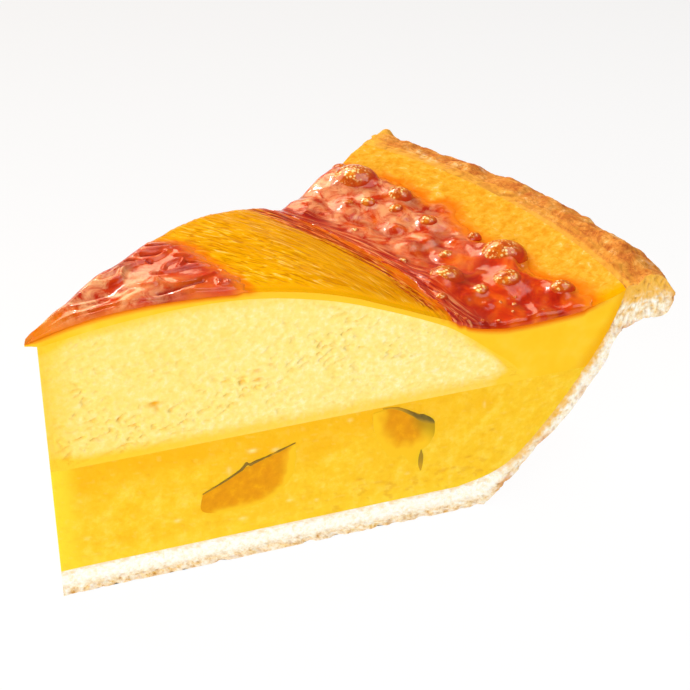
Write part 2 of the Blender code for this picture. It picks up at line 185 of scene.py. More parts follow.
# Patches of flour on the rim: radius, degrees round, both half widths and strength.
FLOURY = (
    (118, 33.6, 1.2, 0.7, 0.9), (117.2, 32.3, 1.4, 0.6, 0.8), (118.5, 35.2, 1.2, 0.8, 0.5),
    (117.6, 30, 1.4, 0.6, 0.4), (121, 27, 1, 0.5, 0.4), (120, 19, 1.2, 0.4, 0.35),
    (122, 9, 1, 0.5, 0.5), (123, 2.5, 1, 0.8, 0.6),
)


# Modelling
def in_slice(radius, height, angle):
    """The place of a point given by radius, height and the angle round from the slice's middle."""
    return MIDDLE + Vector((radius * math.cos(angle), radius * math.sin(angle), height)) * MM


def points_of(piece, kind="co"):
    """The places of a piece's points, or their normals."""
    flat = np.empty(len(piece.data.vertices) * 3)
    piece.data.vertices.foreach_get(kind, flat)
    return flat.reshape(-1, 3)


def put_points(piece, place):
    piece.data.vertices.foreach_set("co", place.ravel())
    piece.data.update()


def paint(piece, name, values):
    """Keeps one number from 0 to 1 for each point, for the material to read."""
    layer = piece.data.attributes.new(name, "FLOAT", "POINT")
    layer.data.foreach_set("value", np.clip(values, 0, 1).astype(np.float32))


def edge_line(path):
    """A line of edges in the far cut plane."""
    bpy.ops.object.select_all(action="DESELECT")
    bpy.ops.curve.primitive_bezier_curve_add()
    line = bpy.context.object
    bends = line.data.splines[0].bezier_points
    bends.add(len(path) - 2)
    for bend, (radius, height) in zip(bends, path):
        bend.handle_left_type = bend.handle_right_type = "VECTOR"
        bend.co = in_slice(radius, height, HALF)
    line.data.resolution_u = 1
    bpy.ops.object.convert(target="MESH")
    return line


def flat_section(name, under, over, rows):
    """The section between two edge lines in the far cut plane, selected in edit mode."""
    lines = [edge_line(under), edge_line(over)]
    for line in lines:
        line.select_set(True)
    bpy.ops.object.join()
    made = bpy.context.object
    made.name = made.data.name = name
    bpy.ops.object.mode_set(mode="EDIT")
    bpy.ops.mesh.select_all(action="SELECT")
    bpy.ops.mesh.bridge_edge_loops(number_cuts=rows - 1, interpolation="LINEAR")
    bpy.ops.mesh.select_all(action="SELECT")
    return made


def turned(name, under, over, rows, steps):
    """A solid layer: a section turned about the middle of the tart, through the whole slice."""
    layer = flat_section(name, under, over, rows)
    bpy.ops.mesh.spin(steps=steps, angle=2 * HALF, center=MIDDLE, axis=(0, 0, 1))
    bpy.ops.mesh.select_all(action="SELECT")
    bpy.ops.mesh.remove_doubles(threshold=0.01 * MM)
    bpy.ops.mesh.normals_make_consistent(inside=False)
    bpy.ops.object.mode_set(mode="OBJECT")
    return layer


def set_in(name, under, over, rows, depth, proud=-0.04):
    """A piece in the near cut face, from its section there straight into the slice."""
    made = flat_section(name, under, over, rows)
    inwards = tuple(INTO_FAR * depth * MM)
    bpy.ops.mesh.extrude_region_move(TRANSFORM_OT_translate={"value": inwards})
    bpy.ops.transform.resize(value=(0.9, 0.9, 0.9))
    bpy.ops.mesh.select_all(action="SELECT")
    bpy.ops.mesh.normals_make_consistent(inside=False)
    bpy.ops.object.mode_set(mode="OBJECT")
    mirrored = (points_of(made) - np.array(MIDDLE)) * (1, -1, 1)
    put_points(made, mirrored + np.array(MIDDLE) - INTO_NEAR * proud * MM)
    made.data.flip_normals()
    return made


class Clay:
    """A piece's points while it is worked: where they started, and where they are."""

    def __init__(self, piece):
        self.piece = piece
        self.place = points_of(piece)
        self.normal = points_of(piece, "normal")
        self.start = (self.place - np.array(MIDDLE)) / MM
        x, y, self.height = self.start.T
        self.radius = np.hypot(x, y)
        self.angle = np.arctan2(y, np.maximum(x, 1e-9))
        self.degrees = np.degrees(self.angle) + SLICE / 2
        self.from_near = np.radians(self.degrees) * self.radius
        self.from_far = np.radians(SLICE - self.degrees) * self.radius
        self.cut = np.minimum(self.from_near, self.from_far) < ON_CUT
        self.side = 9.0 * (self.degrees > SLICE / 2)  # gives each half a pattern of its own

    def along(self, radial, round_, up, seed=0.0):
        """Points for a pattern that follows the tart, with its three sizes."""
        around = self.angle * self.radius
        return np.stack([self.radius / radial + seed, around / round_ - seed, self.height / up], 1)

    def section(self, across, up, seed=0.0):
        """Points for a pattern in the cut faces, the same all through each half of the slice."""
        return np.stack([self.radius / across, self.height / up, self.side + seed], 1)

    def move(self, direction, amount):
        self.place = self.place + np.asarray(direction) * (np.asarray(amount) * MM)[:, None]

    def cut_in(self, amount):
        """Sinks the two cut faces, never outwards, and draws the points behind after them."""
        reach = np.minimum(4, 0.3 * self.radius) + 0.001
        amount = np.clip(amount, 0, 0.4 * reach)
        for inwards, degrees in ((INTO_NEAR, self.degrees), (INTO_FAR, SLICE - self.degrees)):
            behind = self.radius * np.sin(np.radians(degrees))
            self.move(inwards, amount * np.clip(1 - behind / reach, 0, 1))

    def lift_far_side(self):
        self.move(UP, far_lift(self.radius, self.angle) * smoothstep(33, 43, self.height))

    def drag_tip(self):
        """The knife pulled the top out past the tip."""
        self.move((-1, 0, 0), 2.4 * np.maximum(0, 1 - self.radius / 9) ** 2)

    def paint(self, name, values):
        paint(self.piece, name, values)

    def paint_places(self, name, places):
        """Keeps a place in millimetres for each point, for patterns that follow the tart."""
        layer = self.piece.data.attributes.new(name, "FLOAT_VECTOR", "POINT")
        layer.data.foreach_set("vector", (places * MM).astype(np.float32).ravel())

    def set(self):
        put_points(self.piece, self.place)


def far_lift(radius, angle):
    """How much higher the top lies towards the slice's far side."""
    turn = np.sin(angle) / math.sin(HALF)
    tilt = np.interp(radius, (0, 78, 90, 106, 114, 120, 140), (0, 0, 1.4, 1.2, 0.3, -0.9, -0.9))
    swell = np.interp(
        radius,
        (0, 8, 20, 30, 40, 50, 58, 64, 71, 76, 80, 84, 90, 95, 106, 110, 115, 120),
        (1, 0.6, 0.3, 0, 0.5, 0.8, 1, 1.4, 1.9, 1.2, 0.9, 1.6, 0.9, 1.2, 0.9, 1.6, 1, 0.5),
    )
    return tilt * turn + swell * smoothstep(-0.3, 1, turn)


# Patterns. A number added to the points picks another pattern of the same kind.
def lumps(points):
    """Soft lumps between -1 and 1."""
    return np.array([noise.noise(point) for point in points.tolist()])


def crumbs(points, octaves=3):
    """Lumps with finer lumps on them."""
    return np.array([noise.fractal(point, 0.7, 2.0, octaves) for point in points.tolist()])


def plates(points):
    """A height between -1 and 1 for each plate of a broken skin, and how far inside it we are."""
    found = [noise.voronoi(point) for point in points.tolist()]
    height = np.array([noise.noise(corners[0] * 3.7) for _, corners in found])
    return height, np.array([away[1] - away[0] for away, _ in found])


def dab(across, up, *spots):
    """Soft spots at given places: each has its place, its two half widths and its strength."""
    total = np.zeros(len(across))
    for x, y, wide, tall, strength in spots:
        total += strength * np.exp(-((across - x) / wide) ** 2 - ((up - y) / tall) ** 2)
    return total


def away_from(path, clay):
    """How far each point is from a line in the cut plane."""
    gaps = [np.hypot(clay.radius - radius, clay.height - height) for radius, height in path]
    return np.min(gaps, axis=0)


def away_on_top(path, clay):
    """How far each point is, seen from above, from a line given by radius and degrees round."""
    radius, degrees = np.array(path).T
    angle = np.radians(degrees) - HALF
    line = evenly(smooth(course(radius * np.cos(angle), radius * np.sin(angle))), 50)
    return np.min([np.hypot(clay.start[:, 0] - x, clay.start[:, 1] - y) for x, y in line], axis=0)


def into_glaze(clay):
    """How far the points lie inside the ragged borders of the disc and of the ring of glaze."""
    flat = clay.start * (1, 1, 0)
    ragged = 0.9 * lumps(flat / 2.6) + 0.5 * lumps(flat / 1.2 + 5)
    drawn_out = lumps(clay.along(1.3, 7, 1e9, 3.0))
    disc = level(DISC_EDGE, clay.degrees) - clay.radius
    inner = clay.radius - level(RING_INNER_EDGE, clay.degrees) + 2.4 * drawn_out
    outer = level(RING_OUTER_EDGE, clay.degrees) - clay.radius + 0.8 * lumps(flat / 5 + 9)
    return disc + ragged, np.minimum(inner, outer) + ragged


def drawn(clay):
    """Places across and along the wrinkles, which slant over the mound and less on the shelf."""
    slant, turn = math.radians(32), math.radians(16)
    x, y = clay.start[:, 0], clay.start[:, 1]
    around = clay.angle * clay.radius
    bend = smoothstep(56, 84, clay.radius)
    across = (x * math.cos(slant) + y * math.sin(slant)) * (1 - bend)
    across = across + (clay.radius * math.cos(turn) + around * math.sin(turn)) * bend
    along = (y * math.cos(slant) - x * math.sin(slant)) * (1 - bend)
    along = along + (around * math.cos(turn) - clay.radius * math.sin(turn)) * bend
    return np.stack([across, along, clay.height], 1)


def finish(piece, material, slot, *nodes):
    """Gives a piece its material and smooth shading, and hides the solids it stands for."""
    bpy.context.view_layer.objects.active = piece
    bpy.ops.object.select_all(action="DESELECT")
    piece.select_set(True)
    bpy.ops.object.shade_smooth_by_angle(angle=math.radians(65))
    piece.data.materials.clear()
    piece.data.materials.append(material)
    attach(piece, "root")
    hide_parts(*nodes)


# Materials
def linear(colour):
    """The linear colour of an sRGB hex value."""
    values = [int(colour[i:i + 2], 16) / 255 for i in (1, 3, 5)]
    return (*[v / 12.92 if v <= 0.04045 else ((v + 0.055) / 1.055) ** 2.4 for v in values], 1)


def repeat(size):
    """A pattern's scale, from its real size in millimetres."""
    return 1 / (size * MM)


def add(tree, kind, settings, **sockets):
    """Adds a node, sets what it has, and fills or links its sockets by name or number."""
    made = tree.nodes.new("ShaderNode" + kind)
    for name, value in settings.items():
        if name == "stops":
            ramp = made.color_ramp.elements
            for _ in value[2:]:
                ramp.new(1)
            for stop, (position, colour) in zip(ramp, value):
                stop.position = position
                stop.color = linear(colour) if isinstance(colour, str) else (colour,) * 3 + (1,)
        else:
            setattr(made, name, value)
    for name, value in sockets.items():
        key = int(name[1:]) if name[1:].isdigit() else name.replace("_", " ")
        if isinstance(value, bpy.types.Node):
            value = value.outputs[0]
        if isinstance(value, bpy.types.NodeSocket):
            tree.links.new(value, made.inputs[key])
        else:
            made.inputs[key].default_value = linear(value) if isinstance(value, str) else value
    return made


def food(name, **constants):
    """A new material with the shader's fixed values set by name, and the place to draw it in."""
    made = bpy.data.materials.new(name)
    made.use_nodes = True
    shader = made.node_tree.nodes["Principled BSDF"]
    for key, value in constants.items():
        shader.inputs[key.replace("_", " ")].default_value = value
    place = add(made.node_tree, "TexCoord", {}).outputs["Object"]
    return made, made.node_tree, shader, place


def lay_over(tree, colour, *coats):
    """Lays coats of colour over one another, each where the number painted by its name is high."""
    for name, coat in coats:
        painted = add(tree, "Attribute", {"attribute_name": name}).outputs["Fac"]
        colour = add(tree, "Mix", {"data_type": "RGBA"}, _0=painted, _6=colour, _7=coat).outputs[2]
    return colour


def cover(tree, shader, colour, relief):
    """Gives the shader its colour and its relief."""
    tree.links.new(colour, shader.inputs["Base Color"])
    tree.links.new(relief.outputs["Normal"], shader.inputs["Normal"])


def whipped_mousse():
    """Mousse set with gelatine and cut with a knife: matt, aerated, torn in fine pits."""
    made, tree, shader, place = food(
        "whipped_pumpkin_mousse", Roughness=0.62, IOR=1.4, Specular_IOR_Level=0.15,
        Subsurface_Weight=0.25, Subsurface_Radius=(1, 0.75, 0.35), Subsurface_Scale=0.4 * MM,
    )
    mottle = add(tree, "TexNoise", {}, Vector=place, Scale=repeat(5), Detail=3.0, Roughness=0.6)
    froth = add(tree, "TexNoise", {}, Vector=place, Scale=repeat(1.2), Detail=4.0, Roughness=0.6)
    pale = add(tree, "ValToRGB", {"stops": [
        (0.32, "#FCE07E"), (0.44, "#FDE588"), (0.56, "#FEEA98"), (0.7, "#FFF1B4"),
    ]}, Fac=froth)
    warm = add(tree, "ValToRGB", {"stops": [(0.45, 0.0), (0.7, 0.3)]}, Fac=mottle)
    body = add(tree, "Mix", {"data_type": "RGBA"}, _0=warm, _6=pale, _7="#FBD758").outputs[2]
    # Painted shade: deeper yellow where the tears and pits are sunk.
    body = lay_over(tree, body, ("stained", "#FBCB30"), ("hollow", "#F0A818"))
    relief = add(tree, "Bump", {}, Height=froth, Strength=0.35, Distance=0.3 * MM)
    cover(tree, shader, body, relief)
    return made


def baked_filling():
    """Baked pumpkin puree: dense, moist, finely grained, with a low shine where it is cut."""
    made, tree, shader, place = food(
        "baked_pumpkin_puree", Roughness=0.42, IOR=1.42, Specular_IOR_Level=0.1,
        Subsurface_Weight=0.35, Subsurface_Radius=(1, 0.6, 0.15), Subsurface_Scale=0.7 * MM,
    )
    mottle = add(tree, "TexNoise", {}, Vector=place, Scale=repeat(3), Detail=4.0, Roughness=0.65)
    grain = add(tree, "TexNoise", {}, Vector=place, Scale=repeat(0.9), Detail=2.0, Roughness=0.6)
    puree = add(tree, "ValToRGB", {"stops": [
        (0.3, "#F6BE18"), (0.5, "#FAC828"), (0.7, "#FED54A"),
    ]}, Fac=mottle)
    body = lay_over(tree, puree, ("deep", "#F5B40A"), ("bright", "#FFD630"),
                    ("pale_speck", "#FFE596"), ("dark_grain", "#D8860C"))
    relief = add(tree, "Bump", {}, Height=grain, Strength=0.35, Distance=0.2 * MM)
    cover(tree, shader, body, relief)
    return made


def pumpkin_cream():
    """Set pumpkin cream with a glossy skin, drawn into fine wrinkles as it cooled."""
    made, tree, shader, place = food(
        "set_pumpkin_cream", Roughness=0.3, IOR=1.42, Specular_IOR_Level=0.01,
        Subsurface_Weight=0.2, Subsurface_Radius=(1, 0.5, 0.08), Subsurface_Scale=0.4 * MM,
    )
    wrinkled = add(tree, "Attribute", {"attribute_name": "drawn"}).outputs["Vector"]
    depth = add(tree, "Attribute", {"attribute_name": "depth"}).outputs["Fac"]
    on_top = add(tree, "ValToRGB", {"stops": [(0.0, 1.0), (0.03, 0.0)]}, Fac=depth)
    under_top = add(tree, "ValToRGB", {"stops": [(0.06, 1.0), (0.26, 0.0)]}, Fac=depth)
    soaked = add(tree, "ValToRGB", {"stops": [(0.03, 1.0), (0.15, 0.0)]}, Fac=depth)

    mottle = add(tree, "TexNoise", {}, Vector=place, Scale=repeat(8), Detail=3.0, Roughness=0.55)
    cut = add(tree, "ValToRGB", {"stops": [
        (0.3, "#FABF1A"), (0.55, "#FBC82A"), (0.75, "#FDD044"),
    ]}, Fac=mottle)
    cut = add(tree, "Mix", {"data_type": "RGBA"}, _0=under_top, _6=cut, _7="#FAC430").outputs[2]

    wrinkled = add(tree, "Mapping", {}, Vector=wrinkled, Scale=(repeat(0.9), repeat(3), repeat(6)))
    wrinkle = add(tree, "TexNoise", {}, Vector=wrinkled, Scale=1.0, Detail=1.5, Roughness=0.45,
                  Distortion=0.9)
    # Partly painted light: on the wrinkle pattern, the palest stops paint highlights along the
    # ridges and the darkest stops paint shade in the troughs.
    skin = add(tree, "ValToRGB", {"stops": [
        (0.35, "#D08800"), (0.44, "#E6A200"), (0.55, "#F0AE00"), (0.64, "#F8BE20"),
        (0.73, "#FFDA78"),
    ]}, Fac=wrinkle)
    cloudy = add(tree, "TexNoise", {}, Vector=place, Scale=repeat(1.8), Detail=4.0,
                 Roughness=0.65, Distortion=0.4)
    clouds = add(tree, "ValToRGB", {"stops": [
        (0.36, "#E0981E"), (0.5, "#E9AC2E"), (0.62, "#EFBA46"), (0.74, "#F9DA92"),
    ]}, Fac=cloudy)
    # The scorch's palest stop paints pinkish highlights on its streaks.
    scorch = add(tree, "ValToRGB", {"stops": [
        (0.38, "#8C1A0A"), (0.48, "#B02C0C"), (0.58, "#CE4814"), (0.68, "#F0A060"),
    ]}, Fac=wrinkle)
    skin = lay_over(tree, skin, ("crest", "#D98C00"), ("shelf", clouds), ("smooth_edge", "#F6AE04"),
                    ("torched", scorch))

    body = add(tree, "Mix", {"data_type": "RGBA"}, _0=on_top, _6=cut, _7=skin).outputs[2]
    body = lay_over(tree, body, ("deep", "#EE9C00"))
    stain = add(tree, "Attribute", {"attribute_name": "glaze_stain"}).outputs["Fac"]
    stain = add(tree, "Math", {"operation": "MULTIPLY"}, _0=stain, _1=soaked)
    body = add(tree, "Mix", {"data_type": "RGBA"}, _0=stain, _6=body, _7="#EC7408").outputs[2]
    ridges = add(tree, "Math", {"operation": "MULTIPLY"}, _0=wrinkle, _1=on_top)
    relief = add(tree, "Bump", {}, Height=ridges, Strength=0.65, Distance=0.4 * MM)
    cover(tree, shader, body, relief)
    return made


def caramel_glaze():
    """Boiled fruit and caramel glaze: wet, see-through red, paler where it runs thin."""
    made, tree, shader, place = food(
        "red_caramel_glaze", Roughness=0.1, IOR=1.45, Specular_IOR_Level=0.08,
        Subsurface_Weight=0.2, Subsurface_Radius=(1, 0.25, 0.08), Subsurface_Scale=0.5 * MM,
        Coat_Weight=0.45, Coat_Roughness=0.15,
    )
    mottle = add(tree, "TexNoise", {}, Vector=place, Scale=repeat(6), Detail=4.0, Roughness=0.6,
                 Distortion=0.8)
    body = add(tree, "ValToRGB", {"stops": [
        (0.32, "#A81A02"), (0.46, "#C42C02"), (0.58, "#DA4204"), (0.72, "#EC7018"),
    ]}, Fac=mottle)
    # Painted reflection: peach clouds laid over the red as a sheen of the lamps, where the painted
    # number for it is high.
    cloudy = add(tree, "TexNoise", {}, Vector=place, Scale=repeat(3.2), Detail=5.0,
                 Roughness=0.65, Distortion=0.6)
    clouds = add(tree, "ValToRGB", {"stops": [(0.4, 0.0), (0.6, 0.96)]}, Fac=cloudy)
    milky = add(tree, "Attribute", {"attribute_name": "milky"}).outputs["Fac"]
    milky = add(tree, "Math", {"operation": "MULTIPLY"}, _0=clouds, _1=milky)
    body = add(tree, "Mix", {"data_type": "RGBA"}, _0=milky, _6=body, _7="#F8B47C").outputs[2]

    pulled = add(tree, "Attribute", {"attribute_name": "drawn"}).outputs["Vector"]
    pulled = add(tree, "Mapping", {}, Vector=pulled, Scale=(repeat(0.9), repeat(7), repeat(9)))
    streak = add(tree, "TexNoise", {}, Vector=pulled, Scale=1.0, Detail=2.0, Roughness=0.5,
                 Distortion=0.8)
    lines = add(tree, "ValToRGB", {"stops": [
        (0.38, "#A01808"), (0.47, "#C0300C"), (0.57, "#D8501A"), (0.68, "#F09A60"),
    ]}, Fac=streak)
    body = lay_over(tree, body, ("thin", "#F0820C"), ("streaky", lines), ("fold", "#A01A08"))

    streaky = add(tree, "Attribute", {"attribute_name": "streaky"}).outputs["Fac"]
    lined = add(tree, "Math", {"operation": "MULTIPLY"}, _0=streak, _1=streaky)
    ripple = add(tree, "TexNoise", {}, Vector=place, Scale=repeat(1.6), Detail=1.0, Roughness=0.5,
                 Distortion=0.5)
    both = add(tree, "Math", {"operation": "MULTIPLY_ADD"}, _0=ripple, _1=0.25, _2=lined)
    relief = add(tree, "Bump", {}, Height=both, Strength=0.6, Distance=0.4 * MM)
    cover(tree, shader, body, relief)
    return made


def browned_blister():
    """A bubble of sugar that browned under the flame, with glints painted on its crown as pale gold
    specks.
    """
    made, tree, shader, place = food(
        "browned_sugar_blister", Roughness=0.16, IOR=1.5, Specular_IOR_Level=0.1,
        Subsurface_Weight=0.2, Subsurface_Radius=(1, 0.4, 0.1), Subsurface_Scale=0.5 * MM,
        Coat_Weight=0.6, Coat_Roughness=0.06,
    )
    foam = add(tree, "TexVoronoi", {"feature": "F1"}, Vector=place, Scale=repeat(0.7),
               Randomness=1.0)
    patch = add(tree, "TexNoise", {}, Vector=place, Scale=repeat(1.6), Detail=3.0, Roughness=0.65)
    sugar = add(tree, "ValToRGB", {"stops": [
        (0.35, "#BC4A08"), (0.48, "#D0620C"), (0.6, "#E07C16"), (0.72, "#F0A030"),
    ]}, Fac=patch)
    # Painted highlight: pale gold glints in the foam cells, only where the crown is painted.
    glint = add(tree, "ValToRGB", {"stops": [(0.3, 1.0), (0.5, 0.0)]}, Fac=foam)
    spread_out = add(tree, "ValToRGB", {"stops": [(0.43, 0.0), (0.53, 1.0)]}, Fac=patch)
    shine = add(tree, "Attribute", {"attribute_name": "crown"}).outputs["Fac"]
    for limit in (glint, spread_out):
        shine = add(tree, "Math", {"operation": "MULTIPLY"}, _0=limit, _1=shine)
    body = add(tree, "Mix", {"data_type": "RGBA"}, _0=shine, _6=sugar, _7="#FFEA9A").outputs[2]
    # Dark red at the foot: partly the glaze's own red, partly painted shade on the side away from
    # the light.
    body = lay_over(tree, body, ("foot", "#C83608"))
    relief = add(tree, "Bump", {"invert": True}, Height=foam, Strength=0.25, Distance=0.2 * MM)
    cover(tree, shader, body, relief)
    return made


def baked_crust():
    """Shortcrust: a dry, crumbly cut, golden where it met the tin and brown on the rolled rim."""
    made, tree, shader, place = food(
        "baked_shortcrust", Roughness=0.7, IOR=1.45, Specular_IOR_Level=0.12,
        Subsurface_Weight=0.15, Subsurface_Radius=(1, 0.7, 0.4), Subsurface_Scale=0.4 * MM,
    )
    grain = add(tree, "TexNoise", {}, Vector=place, Scale=repeat(0.9), Detail=4.0, Roughness=0.7)
    inside = add(tree, "ValToRGB", {"stops": [
        (0.34, "#FDEDC6"), (0.44, "#FFF8E2"), (0.58, "#FFFDF4"),
    ]}, Fac=grain)
    gold = add(tree, "ValToRGB", {"stops": [
        (0.36, "#C0801E"), (0.45, "#E6B04E"), (0.56, "#F8D48A"), (0.68, "#FFF0C8"),
    ]}, Fac=grain)
    mottle = add(tree, "TexNoise", {}, Vector=place, Scale=repeat(2.6), Detail=4.0, Roughness=0.65)
    skin = add(tree, "ValToRGB", {"stops": [
        (0.34, "#B86024"), (0.44, "#D07E2E"), (0.54, "#DC943C"), (0.63, "#EAAC58"),
        (0.72, "#FADEA8"),
    ]}, Fac=mottle)
    turned_place = add(tree, "Attribute", {"attribute_name": "turned"}).outputs["Vector"]
    flaky = add(tree, "Mapping", {}, Vector=turned_place,
                Scale=(repeat(2.6), repeat(6.5), repeat(2.6)))
    flake = add(tree, "TexNoise", {}, Vector=flaky, Scale=1.0, Detail=2.0, Roughness=0.6,
                Distortion=1.3)
    lines = add(tree, "ValToRGB", {"stops": [
        (0.42, 0.0), (0.452, 0.55), (0.46, 0.0), (0.52, 0.0), (0.553, 0.55), (0.56, 0.0),
    ]}, Fac=flake)
    skin = add(tree, "Mix", {"data_type": "RGBA"}, _0=lines, _6=skin, _7="#964214").outputs[2]
    # The crack colour is real cracks on the rim's skin, and painted shade in the sunk holes of the
    # cuts.
    body = lay_over(tree, inside, ("toasted", gold), ("browned", skin), ("creamy", "#F4B840"),
                    ("crack", "#AC6420"))
    both = add(tree, "Math", {"operation": "ADD"}, _0=grain, _1=flake)
    relief = add(tree, "Bump", {}, Height=both, Strength=0.45, Distance=0.5 * MM)
    cover(tree, shader, body, relief)
    return made


def stewed_flesh():
    """A chunk of stewed pumpkin: soft, wet, deeper in colour than the puree round it."""
    made, tree, shader, place = food(
        "stewed_pumpkin_flesh", Roughness=0.34, IOR=1.42, Specular_IOR_Level=0.12,
        Subsurface_Weight=0.4, Subsurface_Radius=(1, 0.5, 0.08), Subsurface_Scale=0.8 * MM,
    )
    fibre = add(tree, "TexNoise", {}, Vector=place, Scale=repeat(1.6), Detail=3.0, Roughness=0.6)
    flesh = add(tree, "ValToRGB", {"stops": [
        (0.3, "#DE9000"), (0.55, "#E69A00"), (0.75, "#F0AA04"),
    ]}, Fac=fibre)
    body = lay_over(tree, flesh, ("faded", "#FAC31C"), ("olive", "#A8860C"))
    relief = add(tree, "Bump", {}, Height=fibre, Strength=0.25, Distance=0.2 * MM)
    cover(tree, shader, body, relief)
    return made


def green_rind():
    """The skin of the pumpkin, stewed soft: dark green that has faded to olive and grey."""
    made, tree, shader, place = food(
        "pumpkin_rind", Roughness=0.5, IOR=1.45, Specular_IOR_Level=0.1,
    )
    mottle = add(tree, "TexNoise", {}, Vector=place, Scale=repeat(1.6), Detail=3.0, Roughness=0.6)
    skin = add(tree, "ValToRGB", {"stops": [
        (0.35, "#4E4222"), (0.5, "#66542A"), (0.62, "#7E6428"), (0.75, "#987424"),
    ]}, Fac=mottle)
    body = lay_over(tree, skin, ("green", "#4C5524"), ("faded", "#D9A21C"))
    tree.links.new(body, shader.inputs["Base Color"])
    return made


# The layers
def bake_filling():
    wall_radius = level(INNER_WALL[:, ::-1], FILLING_TOP + OVERLAP)
    radii = np.linspace(0, wall_radius, 280)
    under = np.minimum(level(INNER_WALL, radii) - OVERLAP, FILLING_TOP)
    layer = turned("filling", course(radii, under), course(radii, FILLING_TOP), 60, 24)
    clay = Clay(layer)
    fine = lumps(clay.section(1.1, 0.8, 3))
    pores = smoothstep(0.35, 0.75, lumps(clay.section(1.2, 0.7)))
    away = np.minimum(FILLING_TOP - clay.height, clay.height - BASE_THICKNESS)
    rough = (0.04 * fine + 0.16 * pores) * smoothstep(0, 1.2, away)
    clay.cut_in((0.12 + rough) * smoothstep(0, 4, clay.radius))
    specks = dab(
        clay.radius, clay.height, (23, 12.2, 0.6, 0.35, 0.7), (45.5, 11.5, 0.5, 0.25, 0.6),
        (38.3, 25.0, 0.8, 0.4, 0.9), (33.6, 21.5, 0.4, 0.8, 0.5), (42.9, 24.2, 0.7, 0.4, 0.7),
        (58, 27.6, 0.5, 0.3, 0.5), (66, 30, 0.4, 0.3, 0.5), (51, 10.2, 0.4, 0.3, 0.6),
        (86, 25, 0.3, 0.7, 0.4), (90, 16, 0.4, 0.3, 0.4), (5.5, 12.5, 0.5, 0.4, 0.3),
        (70, 12, 0.5, 0.3, 0.4), (36, 9.5, 0.8, 0.35, 0.5),
    )
    faint = 0.1 * smoothstep(0.35, 0.6, lumps(clay.section(1.4, 0.8, 7)))
    clay.paint("pale_speck", specks + faint)
    bed = smoothstep(40, 60, clay.radius) * smoothstep(15, 8, clay.height)
    grains = smoothstep(0.2, 0.6, crumbs(clay.section(2.8, 1.5, 4)))
    clay.paint("dark_grain", grains * (0.08 + 0.26 * bed) + dab(
        clay.radius, clay.height, (18, 24.2, 0.25, 0.3, 0.5), (60, 13, 0.7, 0.3, 0.5),
        (66, 10.5, 0.9, 0.3, 0.5), (83, 13, 0.8, 0.3, 0.5), (80, 11, 0.6, 0.3, 0.5),
        (88, 18.5, 0.6, 0.3, 0.5),
    ))
    cloud = lumps(clay.section(9, 5))
    upper = smoothstep(17, 28, clay.height + 2.5 * cloud) * smoothstep(100, 60, clay.radius)
    clay.paint("deep", 0.75 * upper + 0.3 * cloud)
    clay.paint("bright", smoothstep(6, 1, clay.radius) + 0.35 * smoothstep(10, 6.5, clay.height))
    clay.set()
    finish(layer, baked_filling(), "baked_pumpkin", "pumpkin_filling")


def whip_mousse():
    radii = np.linspace(0, MOUSSE_RADIUS, 361)
    under = course(radii, FILLING_TOP - 2 * OVERLAP)
    over = course(radii, level(MOUSSE_TOP, radii) + 2 * OVERLAP)
    layer = turned("mousse_mound", under, over, 108, 24)
    clay = Clay(layer)
    across = clay.radius + 0.3 * clay.height
    up = clay.height - 0.33 * clay.radius + 1.2 * lumps(clay.section(20, 14))
    torn = 0.3 + dab(
        clay.radius, clay.height, (2, 40, 7, 11, 1.2), (14, 34.5, 10, 3.5, 1.2),
        (37, 40.5, 7, 2.5, 1.1), (48, 45, 7, 3, 1.1), (56, 46.5, 6, 5, 0.8), (66, 42, 7, 4, 0.7),
        (30, 36, 14, 3, 0.8), (24, 48, 8, 3, 0.3),
    )
    torn = torn * smoothstep(-0.5, 0.2, lumps(clay.section(6, 4, 5)))
    long_tears = lumps(np.stack([across / 2.4, up / 0.75, clay.side], 1))
    short_tears = lumps(np.stack([across / 1.1, up / 0.55, clay.side + 3], 1))
    tears = smoothstep(0.16, 0.38, long_tears) * torn
    tears = tears + 0.3 * smoothstep(0.25, 0.45, short_tears) * (0.3 + torn)
    pits = dab(
        clay.radius, clay.height, (20.2, 39.7, 1.2, 0.5, 1), (20.6, 38.6, 0.5, 0.7, 0.6),
        (13.5, 37.8, 0.6, 0.4, 0.4), (9.6, 34.3, 0.7, 0.3, 0.3), (39.9, 42.8, 0.8, 0.4, 0.6),
        (40.2, 40.8, 0.9, 0.4, 0.6), (37, 41.9, 0.7, 0.3, 0.4), (42.5, 43.6, 0.5, 0.3, 0.5),
    )
    fine = 0.5 + 0.5 * crumbs(clay.section(1.3, 0.9, 7))
    rim = level(MOUSSE_TOP, clay.radius) - clay.height
    above = clay.height - FILLING_TOP
    inner = smoothstep(-0.2, 1.5, rim) * smoothstep(0, 1.4, above)
    clay.cut_in(0.05 + (0.14 * fine + 0.42 * tears + 0.6 * pits) * inner)
    clay.lift_far_side()
    # Painted shade in the sunk tears and pits, darkest in the listed pits.
    clay.paint("hollow", (0.2 * tears + 0.05 * fine + 0.95 * pits) * inner)
    stained = 0.5 * smoothstep(7, 0, clay.radius) + 0.3 * smoothstep(60, 0, clay.radius)
    stained = stained + 0.6 * smoothstep(3, 0, rim) * smoothstep(80, 20, clay.radius)
    stained = stained + 0.75 * smoothstep(3.4, 0.4, above)
    stained = stained + smoothstep(9, 1, MOUSSE_RADIUS - clay.radius)
    clay.paint("stained", stained + smoothstep(3.2, 0, rim) * smoothstep(72, 86, clay.radius))
    clay.set()
    finish(layer, whipped_mousse(), "set_mousse", "mousse")


